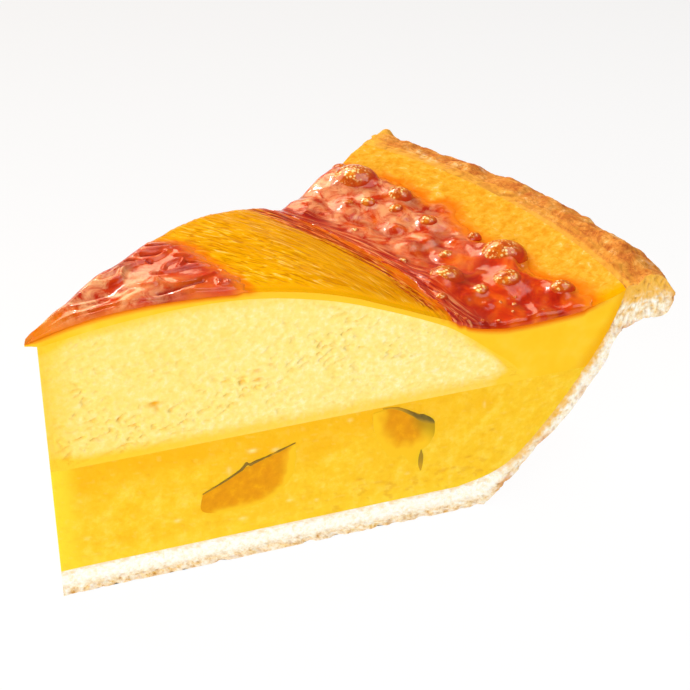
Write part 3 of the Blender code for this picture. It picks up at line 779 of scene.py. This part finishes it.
def pour_cream():
    radii = np.linspace(0, RIM_RADIUS, 280)
    floor = np.where(radii < MOUSSE_RADIUS, level(MOUSSE_TOP, radii), FILLING_TOP)
    bed = course(radii, np.maximum(floor, level(INNER_WALL, radii) - OVERLAP) - OVERLAP)
    layer = turned("cream_skin", bed, course(radii, level(TOP, radii)), 12, 160)
    clay = Clay(layer)
    top = level(TOP, clay.radius)
    depth = top - clay.height
    rise = np.clip(1 - depth / np.maximum(top - level(bed, clay.radius), 0.05), 0, 1)
    disc, ring = into_glaze(clay)
    sunk = smoothstep(0.2, 2.6, np.maximum(disc, ring))

    # Wrinkles on the mound, an edge that the knife rolled over, and a bed for the glaze.
    folds = drawn(clay)
    swirl = lumps(folds / 16)[:, None]
    fine = lumps(folds / (1.4, 5, 9) + swirl * 0.9)
    finer = lumps(folds / (0.9, 2.6, 9) + swirl + 8)
    wide = lumps(folds / (6, 13, 9) + 4)
    wrinkles = (0.17 * fine + 0.1 * finer + 0.25 * wide) * (
        0.35 + 0.65 * smoothstep(92, 72, clay.radius))
    edge = smoothstep(0.8, 4.5, clay.from_near)
    roll = 0.4 * smoothstep(1.2, 0, np.minimum(clay.from_near, clay.from_far))
    clay.move(UP, (1 - sunk) * (wrinkles * edge - roll) * rise**6 - sunk * 0.8 * rise)
    clay.move(UP, (1 - rise) * smoothstep(2.2, 0, clay.radius))
    clay.cut_in(0.03 + 0.03 * lumps(clay.section(2, 2, 6)))
    clay.lift_far_side()
    clay.drag_tip()

    clay.paint_places("drawn", folds)
    clay.paint("depth", depth / 10)
    clay.paint("smooth_edge", 1 - edge)
    browner = 0.05 + 0.45 * smoothstep(46, 66, clay.radius) - 0.2 * fine + 0.4 * wide
    clay.paint("crest", smoothstep(84, 76, clay.radius) * browner * edge)
    clay.paint("shelf", 0.9 * smoothstep(84, 98, clay.radius))
    streak = lumps(folds / (0.7, 9, 9) + 13)
    past = clay.radius - level(SCORCH_EDGE, clay.degrees) + 1.5 * lumps(folds / (2, 9, 9) + 21)
    scorched = smoothstep(0.3, -0.1, streak - 0.75 * smoothstep(-1.5, 5, past) + 0.35)
    scorched = scorched * smoothstep(-1.8, 0, past) * smoothstep(90, 84, clay.radius)
    brown = smoothstep(-0.6, 0.2, streak) * dab(
        clay.radius, clay.degrees,
        (69.5, 13, 2.4, 5, 0.6), (69.2, 5, 2.2, 3, 0.6), (73.5, 7, 2, 4, 0.6),
    )
    clay.paint("torched", (0.95 * scorched + 0.5 * brown) * (0.3 + 0.7 * edge))
    ragged = 0.8 * lumps(clay.start / 1.6 + 31)
    under_ring = smoothstep(-3.6, 0.8, ring + ragged)
    under_disc = smoothstep(-2.4, 0.8, disc + ragged)
    clay.paint("glaze_stain", np.maximum(under_ring, 0.9 * under_disc))
    by_wall = smoothstep(6, 0.2, clay.height - level(INNER_WALL, clay.radius))
    below_top = 1 - smoothstep(0.12, 0, depth)
    clay.paint("deep", 0.6 * below_top * by_wall * smoothstep(96, 106, clay.radius))
    clay.set()
    finish(layer, pumpkin_cream(), "pumpkin_cream", "pumpkin_cream")


def lay_glaze(name, start, end, columns, steps):
    """A sheet of glaze from one radius to another, lying along the top of the cream."""
    radii = np.linspace(start, end, columns)
    top = level(TOP, radii)
    return turned(name, course(radii, top - 1.15), course(radii, top), 5, steps)


def spread(clay, inside, relief):
    """Gives a sheet of glaze its folds, thins it out and dips its border under the cream."""
    top = smoothstep(-1.1, 0, clay.height - level(TOP, clay.radius))
    held = smoothstep(-0.6, 4.2, inside)
    dip = smoothstep(0.5, -1.4, inside)
    rounding = 0.45 * (smoothstep(0.9, 0, clay.from_near) + smoothstep(0.9, 0, clay.from_far))
    clay.move(UP, top * (held * (relief - rounding) + 0.06) - dip * (0.3 + 0.9 * top))
    clay.cut_in(0.05 + 0.2 * top * held + 0.4 * dip)
    return top


def glaze_tip():
    layer = lay_glaze("glaze_over_tip", 0, 42, 200, 160)
    clay = Clay(layer)
    disc, _ = into_glaze(clay)
    flat = clay.start * (1, 1, 0)
    warp = lumps(flat / 12 + 2)[:, None]
    wide = lumps(flat / (9, 6, 1) + 0.5 * warp + 4.4)
    small = lumps(flat / (3.4, 2.4, 1) + warp + 9)
    relief = 0.4 + 0.75 * wide + 0.14 * small
    dark = 0
    for rise, width, path in FOLDS:
        mark = np.exp(-(away_on_top(path, clay) / width) ** 2)
        relief = relief + rise * mark
        dark = dark + (rise < 0) * mark
    top = spread(clay, disc, relief * smoothstep(1, 8, clay.radius) + 0.1)
    clay.lift_far_side()
    clay.drag_tip()
    folded = 0.75 * dark + 0.3 * smoothstep(-0.1, -0.5, wide)
    clay.paint("fold", folded * top * smoothstep(0.5, 3, disc))
    thin = 0.9 * smoothstep(9, 0, clay.radius) + 0.9 * smoothstep(3.6, 0, disc)
    clay.paint("thin", thin + 0.3 * smoothstep(-0.05, 0.45, wide) + 0.35 * (1 - top))
    # Painted reflection, strongest towards the tip.
    clay.paint("milky", top * (0.0625 + 0.9375 * smoothstep(32, 14, clay.radius)))
    clay.set()
    finish(layer, GLAZE, "caramel_glaze", "glaze_disc")


def glaze_band():
    layer = lay_glaze("glaze_ring_band", 64, 113, 165, 210)
    clay = Clay(layer)
    _, ring = into_glaze(clay)
    warp = lumps(clay.along(9, 12, 30, 3.0))[:, None]
    wide = lumps(clay.along(5.4, 7.5, 30, 6.0) + warp * 0.8)
    middle = lumps(clay.along(2.2, 3.2, 30, 4.0) + warp)
    small = lumps(clay.along(1.1, 1.6, 30, 9.0) + warp)
    inner = clay.radius - level(RING_INNER_EDGE, clay.degrees)
    at_slope = smoothstep(8, 3, inner + 3 * wide)
    relief = 0.3 + (0.8 * wide + 0.09 * middle + 0.05 * small) * (1 - 0.7 * at_slope)
    for radius, degrees, width in BLISTERS + SWELLINGS:
        angle = math.radians(degrees) - HALF
        away = clay.start[:, :2] - (radius * math.cos(angle), radius * math.sin(angle))
        swollen = np.exp(-(away**2).sum(1) / (0.6 * width) ** 2)
        relief = relief * (1 - 0.7 * swollen) + 0.32 * width * swollen
    top = spread(clay, ring, relief)
    clay.lift_far_side()
    clay.paint_places("drawn", drawn(clay))
    clay.paint("fold", 0.4 * smoothstep(-0.1, -0.5, wide) * top)
    clay.paint("streaky", at_slope * top)
    outer = level(RING_OUTER_EDGE, clay.degrees) - clay.radius
    thin = 0.95 * smoothstep(4.6, 0, outer + small) + 0.25 * smoothstep(0, 0.5, middle)
    clay.paint("thin", thin + 0.25 * (1 - top) + 0.6 * smoothstep(1.4, 0, ring))
    # Painted reflection, stronger towards the far side.
    clay.paint("milky", 0.8125 * top * smoothstep(8, 30, clay.degrees))
    clay.set()
    finish(layer, GLAZE, "caramel_glaze", "glaze_ring")


def raise_blisters():
    domes = []
    for number, (radius, degrees, width) in enumerate(BLISTERS):
        angle = math.radians(degrees) - HALF
        height = level(TOP, radius) + far_lift(radius, angle) + 0.3 - 0.05 * width
        where = in_slice(radius, float(height), angle)
        bpy.ops.object.select_all(action="DESELECT")
        bpy.ops.mesh.primitive_uv_sphere_add(
            segments=56, ring_count=28, radius=width / 2 * MM, location=where,
        )
        dome = bpy.context.object
        dome.scale = (1.05, 1.0, 0.8)
        bpy.ops.object.transform_apply(location=True, rotation=True, scale=True)
        place = points_of(dome)
        out = (place - np.array(where)) / (0.5 * width * MM)
        dent = 0.06 * lumps(out + number) + 0.01 * lumps(out * 0.5 * width / 1.1 + number)
        put_points(dome, place + out * (0.5 * width * MM) * dent[:, None])
        up = out[:, 2] / 0.8
        # Painted highlight: glints on the crown, most on the side turned towards the light.
        lit = 0.64 * out[:, 1] - 0.77 * out[:, 0]
        paint(dome, "crown", smoothstep(0.45, 0.9, up + 0.4 * lit))
        # Painted shade: the foot is darkened, higher on the side turned from the light.
        paint(dome, "foot", smoothstep(0.85, 0.4, up + 0.25 * lit))
        domes.append(dome)
    bpy.ops.object.select_all(action="DESELECT")
    for dome in domes:
        dome.select_set(True)
    bpy.context.view_layer.objects.active = domes[0]
    bpy.ops.object.join()
    made = bpy.context.object
    made.name = made.data.name = "glaze_blisters"
    bpy.context.scene.cursor.location = (0, 0, 0)
    bpy.ops.object.origin_set(type="ORIGIN_CURSOR")
    finish(made, browned_blister(), "caramel_glaze", "glaze_ring")


def refine_cuts(layer):
    """Divides the faces of the two cuts, which carry the finest crumbs."""
    cut = Clay(layer).cut
    bpy.ops.object.mode_set(mode="EDIT")
    bpy.ops.mesh.select_mode(type="FACE")
    bpy.ops.mesh.select_all(action="DESELECT")
    bpy.ops.object.mode_set(mode="OBJECT")
    for polygon in layer.data.polygons:
        polygon.select = all(cut[corner] for corner in polygon.vertices)
    bpy.ops.object.mode_set(mode="EDIT")
    bpy.ops.mesh.subdivide(number_cuts=2)
    bpy.ops.mesh.select_mode(type="VERT")
    bpy.ops.object.mode_set(mode="OBJECT")


def crust_edge(base, wall, lip):
    """One side of the crust's section, with as many steps as the other side."""
    base, wall, lip = evenly(np.array(base), 56), evenly(wall, 56), evenly(lip, 54)
    return np.vstack([base[:-1], wall[:-1], lip])


def roll_crust():
    under = crust_edge([(0, 0), (TIN_BASE_RADIUS, 0)], smooth(OUTER_WALL), LIP_OUTSIDE)
    floor = [(0, BASE_THICKNESS), (FLOOR_RADIUS, BASE_THICKNESS)]
    layer = turned("crust_shell", under, crust_edge(floor, INNER_WALL, LIP_INSIDE), 8, 222)
    refine_cuts(layer)
    clay = Clay(layer)
    cut, radius, height = clay.cut, clay.radius, clay.height
    wall = smoothstep(86, 94, radius)
    lip = smoothstep(34, 38, height)
    inside = level(INNER_WALL, radius)
    hidden = (radius < RIM_RADIUS) & (height > inside - 0.4)
    hidden = hidden | ((radius < FLOOR_RADIUS + 1) & (height > BASE_THICKNESS - 0.2))

    # The lip and the wall swell outwards, and the knife pulled up the far corner.
    radial = np.stack([np.cos(clay.angle), np.sin(clay.angle), 0 * clay.angle], 1)
    around = radial[:, (1, 0, 2)] * (-1, 1, 1)
    rim_top = np.interp(clay.degrees, (0, 3, 9, 15), (-0.3, 0.8, 0.8, 0))
    stout = 0.8 + (rim_top - 0.8) * smoothstep(41, 44, height)
    swell = 0.5 * (wall + lip) * (stout + crumbs(clay.start / 7.0, 2))
    swell = swell + 0.35 * lip * lumps(clay.start / 3.1 + 7)
    swell = swell * (1 - smoothstep(42, 44, height) * smoothstep(117.5, 115, radius))
    swell = swell * np.where(hidden, 0, smoothstep(-2, 4, clay.from_far))
    clay.move(radial, swell * (0.83 * (1 - lip) + lip * (radius - 119.5) / 6))
    clay.move(UP, swell * (-0.56 * (1 - lip) + lip * (height - 42.8) / 5))
    corner = smoothstep(4, 0.3, clay.from_far) * smoothstep(38, 42, height)
    clay.move(UP, corner * (0.35 + 1.6 * smoothstep(121, 124.5, radius)))
    clay.move(radial, 1.3 * corner * smoothstep(121, 125, radius))

    # Flakes and cracks in the skin.
    push = clay.normal - (clay.normal * around).sum(1)[:, None] * around
    plate, inner = plates(clay.along(2.4, 6.5, 3.0, 4.0) + 0.5 * lumps(clay.start / 2.6)[:, None])
    crack = smoothstep(0.12, 0, inner) * smoothstep(-0.3, 0.2, lumps(clay.start / 5 + 3))
    skin = 0.13 * crumbs(clay.start / 1.6 + 5) + 0.2 * plate - 0.12 * crack
    clay.move(push, np.where(hidden | cut, 0, skin * (0.4 * wall + 0.8 * lip)))

    # Crumbs, holes and chips in the cuts, roughest close under the skin.
    skin_depth = np.minimum(level(OUTER_WALL[:, ::-1], height) - radius, height)
    skin_depth = np.where(height > LIP_FOOT, 9, skin_depth)
    lip_depth = np.minimum(LIP_RADIUS - radius, np.minimum(LIP_TOP - height, height - 37))
    skin_depth = np.where(height > 36, np.maximum(lip_depth, 0), skin_depth)
    coarse = crumbs(clay.section(1.3, 1.1, 9))
    holes = smoothstep(0.15, 0.5, lumps(clay.section(0.9, 0.8, 2)))
    chips = smoothstep(-0.05, 0.45, lumps(clay.section(3.0, 1.8, 17)))
    rough = smoothstep(3.2, 1.4, skin_depth + 0.9 * coarse)
    chipped = 0.55 * chips * smoothstep(2.0, 0.4, skin_depth)
    low = smoothstep(104, 88, radius)
    broken = rough * (0.1 + 0.9 * low) * (0.24 * holes + chipped)
    clay.cut_in(0.17 + 0.05 * coarse + broken + 0.3 * lip * holes)
    clay.lift_far_side()

    # Gold next to the tin, brown on the skin and at its edge in the cuts.
    from_inside = np.maximum(inside - height, 0)
    wall_gold = smoothstep(90, 99, radius) * smoothstep(3.4, 0.4, from_inside)
    base_gold = rough * (0.52 + 0.7 * coarse) * (0.25 + 0.75 * low)
    lip_gold = lip * (0.42 + 0.6 * coarse + 0.3 * smoothstep(41, 45, height))
    gold = np.maximum(base_gold, wall_gold * (0.63 + 0.81 * coarse))
    clay.paint("toasted", np.maximum(gold, lip_gold))
    brown_edge = 0.1 + 0.75 * lip * smoothstep(113, 118, radius)
    brown_edge = brown_edge * smoothstep(1.2, 0.2, skin_depth + 0.5 * coarse)
    brown_top = 0.35 * lip * smoothstep(42.6, 45.5, height + coarse)
    flaked = 0.8 * smoothstep(2.0, 0.7, skin_depth + 0.7 * coarse) * dab(
        radius, height,
        (91.3, 4.4, 1.6, 2.4, 1.2), (99.6, 13, 1.4, 2.6, 1), (107, 23.5, 0.9, 1.8, 0.6),
    )
    brown_cut = np.minimum(np.maximum(np.maximum(brown_edge, brown_top), flaked), 0.8)
    floury = smoothstep(-0.2, 0.3, lumps(clay.start / 1.1 + 40))
    floury = floury * dab(radius, clay.degrees, *FLOURY)
    clay.paint("browned", np.where(cut | hidden, brown_cut, np.maximum(1 - floury, 0.1)))
    # Painted shade: the crack colour laid into the sunk holes of the cuts.
    hole_shade = 0.33 * holes * np.maximum(rough, 0.55 * lip)
    clay.paint("crack", np.where(cut, hole_shade, 0.4 * crack * lip))

    # Cream on the lip's inner edge, and soaked into the cuts where they meet the filling.
    creamy = 0.8 * smoothstep(38.4, 40.4, clay.degrees + 0.8 * coarse)
    creamy = creamy + 0.7 * smoothstep(118.4, 115.2, radius + 1.6 * coarse)
    creamy = creamy * lip * smoothstep(43.5, 46, height)
    gap = np.minimum(np.where(radius < 84, BASE_THICKNESS - height, 9), 0.55 * from_inside)
    up_wall = smoothstep(88, 94, radius)
    soaked = (0.5 + 0.3 * up_wall) * smoothstep(0.7 + 1.2 * up_wall, 0, gap - 0.7 * coarse)
    soaked = soaked * (1 - lip) + 0.85 * lip * smoothstep(40.2, 43.6, height + 1.5 * coarse)
    clay.paint("creamy", np.where(cut, soaked, creamy))
    clay.paint_places("turned", clay.along(1, 1, 1))
    clay.set()
    finish(layer, baked_crust(), "baked_crust", "crust")


def rind(name, points, steps, radii, halves, ripple, rows):
    """A strip of rind along a line in the near cut face, with its half widths at some radii."""
    line = evenly(smooth(points), steps)
    uneven = lumps(np.column_stack([line / (0.9, 1), 0 * line[:, 0]]))
    half = np.interp(line[:, 0], radii, halves) * (1 + ripple * uneven)
    band = course(-0.3 * half, half)
    return line, set_in(name, line - band, line + band, rows, CHUNK_DEPTH - 0.4, 0.0)


def chunk_1():
    under = evenly(smooth([
        (28.3, 17.2), (27.7, 13.9), (29.3, 12.5), (33.1, 12), (38.1, 12.1), (41.5, 12.9),
        (44.1, 14.9), (46.2, 17.7), (46.9, 20.9), (46.9, 24.7),
    ]), 80)
    over = smooth([(28.3, 17.2), (32.9, 19.4), (37.4, 21.6), (42.2, 23.2), (46.9, 24.7)])
    flesh = set_in("chunk_1_flesh", under, evenly(over, 80), 30, CHUNK_DEPTH)
    clay = Clay(flesh)
    border = away_from(under, clay) + 0.7 * lumps(clay.start / 1.4)
    soft = smoothstep(2.0, 0.2, border) * smoothstep(29.5, 31, clay.radius)
    low = smoothstep(24, 22, clay.height)
    clay.paint("faded", soft + 0.9 * smoothstep(43, 46.5, clay.radius) * low)
    finish(flesh, FLESH, "stewed_pumpkin", "pumpkin_chunk_1")
    _, strip = rind("chunk_1_rind", [
        (28.2, 17.2), (32.9, 19.4), (35.9, 21.1), (37.1, 22.3), (37.8, 21.9), (38.7, 22.3),
        (42.2, 23.3), (46.9, 24.9),
    ], 80, (28.2, 30, 35, 37, 38.5, 41, 44, 46.9), (0.08, 0.14, 0.2, 0.36, 0.24, 0.15, 0.17, 0.07),
        0.35, 4)
    clay = Clay(strip)
    gap = np.exp(-((clay.radius - 42.4) / 0.5) ** 2)
    clay.paint("faded", 0.22 + 0.3 * smoothstep(32, 28, clay.radius) + 0.5 * gap)
    clay.paint("green", 0 * clay.radius)
    finish(strip, RIND, "pumpkin_skin", "pumpkin_chunk_1")


def chunk_2():
    under = evenly(smooth([
        (62.6, 28), (62.8, 24.5), (64, 21.2), (65.8, 17.6), (67.5, 16.6), (69, 16.8),
        (70.4, 14.6), (71.4, 14.2), (72.8, 16.8), (74.4, 18.2), (75.5, 20.4), (75.5, 23.4),
    ]), 80)
    over = evenly(smooth([
        (62.6, 28), (66.3, 28.5), (68.1, 28.1), (70.5, 26.9), (73.6, 24.9), (75.5, 23.4),
    ]), 80)
    flesh = set_in("chunk_2_flesh", under, over, 30, CHUNK_DEPTH)
    clay = Clay(flesh)
    border = away_from(under, clay) + 1.2 * lumps(clay.start / 2)
    soft = smoothstep(3.8, 0.4, border) + 0.5 * smoothstep(22, 17, clay.height)
    outer = clay.radius - 1.2 * smoothstep(24, 21, clay.height)
    clay.paint("faded", soft * smoothstep(76.5, 73.5, outer))
    under_rind = smoothstep(6.5, 1.0, level(over, clay.radius) - clay.height)
    clay.paint("olive", 0.75 * smoothstep(69.5, 73, clay.radius) * under_rind)
    finish(flesh, FLESH, "stewed_pumpkin", "pumpkin_chunk_2")
    line, strip = rind("chunk_2_rind", [
        (64.6, 28.7), (66.4, 28.5), (68.3, 27.8), (70.5, 26.4), (72.2, 25.0), (73.8, 24.3),
        (75.4, 23.4),
    ], 60, (64.6, 66.4, 69, 71, 73.5, 74.8, 75.4), (0.08, 0.18, 0.45, 0.7, 1.0, 0.85, 0.35), 0.2, 5)
    clay = Clay(strip)
    below = smoothstep(-0.1, 1.0, level(line, clay.radius) - clay.height)
    faded = 0.1 + 0.6 * below + 0.7 * smoothstep(72, 66, clay.radius)
    clay.paint("faded", np.minimum(faded, 0.9))
    clay.paint("green", 0.15 + 0.35 * smoothstep(72, 75, clay.radius))
    finish(strip, RIND, "pumpkin_skin", "pumpkin_chunk_2")


def skin_scrap():
    under = evenly(smooth([(72.7, 12.1), (72.3, 13.6), (72.35, 15.4), (72.7, 17.2)]), 24)
    over = evenly(smooth([(72.9, 12.1), (73.2, 13.8), (73.25, 15.6), (72.9, 17.2)]), 24)
    scrap = set_in("skin_scrap", under, over, 4, 3, -0.03)
    clay = Clay(scrap)
    clay.paint("faded", 0.5 + 0.4 * smoothstep(15.5, 12.2, clay.height))
    clay.paint("green", 0.6 + 0 * clay.radius)
    finish(scrap, RIND, "pumpkin_skin", "pumpkin_skin_scrap")


# Studio
def studio():
    """A pale lit table, a white room and soft lights."""
    bpy.ops.object.select_all(action="DESELECT")
    bpy.ops.mesh.primitive_plane_add(size=3, location=(0, 0, -0.2 * MM))
    table = bpy.context.object
    table.name = "table"
    made, tree, shader, place = food(
        "lit_acrylic_table", Roughness=0.9, Specular_IOR_Level=0, Base_Color=linear("#484848"),
        Emission_Color=linear("#FFFFFF"),
    )
    away_from_camera = (0, 0, math.radians(-50.4))
    across = add(tree, "Mapping", {"vector_type": "POINT"}, Vector=place, Rotation=away_from_camera)
    away = add(tree, "SeparateXYZ", {}, Vector=across)
    glow = add(tree, "MapRange", {}, Value=away, _1=0.0, _2=0.3, _3=0.95, _4=0.8)
    tree.links.new(glow.outputs["Result"], shader.inputs["Emission Strength"])
    table.data.materials.append(made)
    world = bpy.context.scene.world or bpy.data.worlds.new("room")
    bpy.context.scene.world = world
    world.use_nodes = True
    sky = world.node_tree.nodes["Background"]
    sky.inputs["Color"].default_value = linear("#FFFFFF")
    sky.inputs["Strength"].default_value = 0.16
    softbox("back_light", 84, 34, 0.75, 0.75, 0.34, 6.6, "#FFD9B4")
    softbox("window", 74, 40, 0.75, 0.05, 0.06, 90.0)
    softbox("rim_light", -10, 60, 0.85, 0.5, 0.5, 3.4)
    softbox("side_light", 214, 26, 0.85, 0.8, 0.6, 3.95)


def direction(azimuth, elevation):
    """The way from the slice to a lamp or the camera, from its angles round and up in degrees."""
    side, rise = math.radians(azimuth), math.radians(elevation)
    flat = math.cos(rise)
    return Vector((math.cos(side) * flat, math.sin(side) * flat, math.sin(rise)))


def softbox(name, azimuth, elevation, distance, width, height, brightness, tint="#FFFFFF"):
    """A square lamp behind a white cloth, turned to the slice, with the brightness of its face."""
    away = direction(azimuth, elevation)
    bpy.ops.object.light_add(type="AREA", location=Vector((0, 0, 0.03)) + away * distance)
    lamp = bpy.context.object
    lamp.name = name
    lamp.data.shape = "RECTANGLE"
    lamp.data.size = width
    lamp.data.size_y = height
    lamp.data.energy = brightness * math.pi * width * height
    lamp.data.color = linear(tint)[:3]
    lamp.rotation_euler = away.to_track_quat("Z", "Y").to_euler()


def camera():
    """The photo's camera, as fitted to the corners of the slice."""
    back = direction(-129.6, 32.3)
    distance = 376.74
    aim = MIDDLE + Vector((75.46, 6.97, 23.0)) * MM
    bpy.ops.object.camera_add(location=aim + back * distance * MM)
    made = bpy.context.object
    made.rotation_euler = back.to_track_quat("Z", "Y").to_euler()
    made.data.sensor_width = 36
    made.data.lens = 93.913
    made.data.clip_start = 0.01
    bpy.context.scene.camera = made


GLAZE = caramel_glaze()
FLESH = stewed_flesh()
RIND = green_rind()

camera()
studio()
bake_filling()
whip_mousse()
pour_cream()
glaze_tip()
glaze_band()
raise_blisters()
roll_crust()
chunk_1()
chunk_2()
skin_scrap()
bpy.context.scene.view_settings.view_transform = "Standard"
